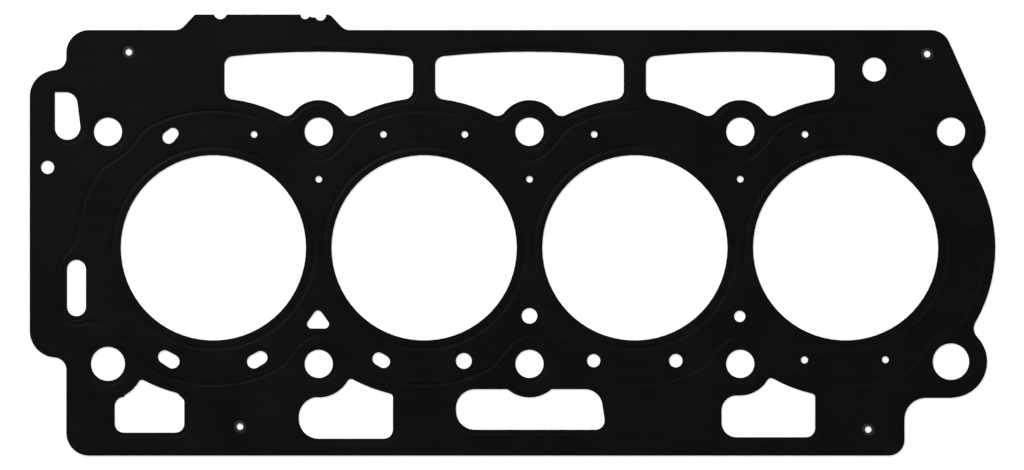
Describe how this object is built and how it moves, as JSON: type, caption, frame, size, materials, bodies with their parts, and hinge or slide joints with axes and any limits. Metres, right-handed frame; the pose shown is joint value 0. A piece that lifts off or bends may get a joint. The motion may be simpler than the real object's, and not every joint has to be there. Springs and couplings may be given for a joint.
{
  "type": "cylinder head gasket",
  "caption": "Flat multi-layer steel head gasket for an inline engine, with cylinder openings, bolt holes, oil and coolant passages, windows and a notched thickness tab.",
  "frame": {"origin": "centre of the head bolt pattern, on the face that lies on the engine block", "axes": "+X along the row of cylinders, away from the notched tab; +Y towards the side with the tab; +Z from the block to the head"},
  "size_m": [0.3986, 0.1821, 0.0014],
  "materials": {
    "coated_steel": "satin",
    "rivet_steel": "satin"
  },
  "bodies": {
    "root": {"gasket_plate": "coated_steel", "rivet_1": "rivet_steel", "rivet_2": "rivet_steel", "rivet_3": "rivet_steel", "rivet_4": "rivet_steel"}
  },
  "joints": []
}
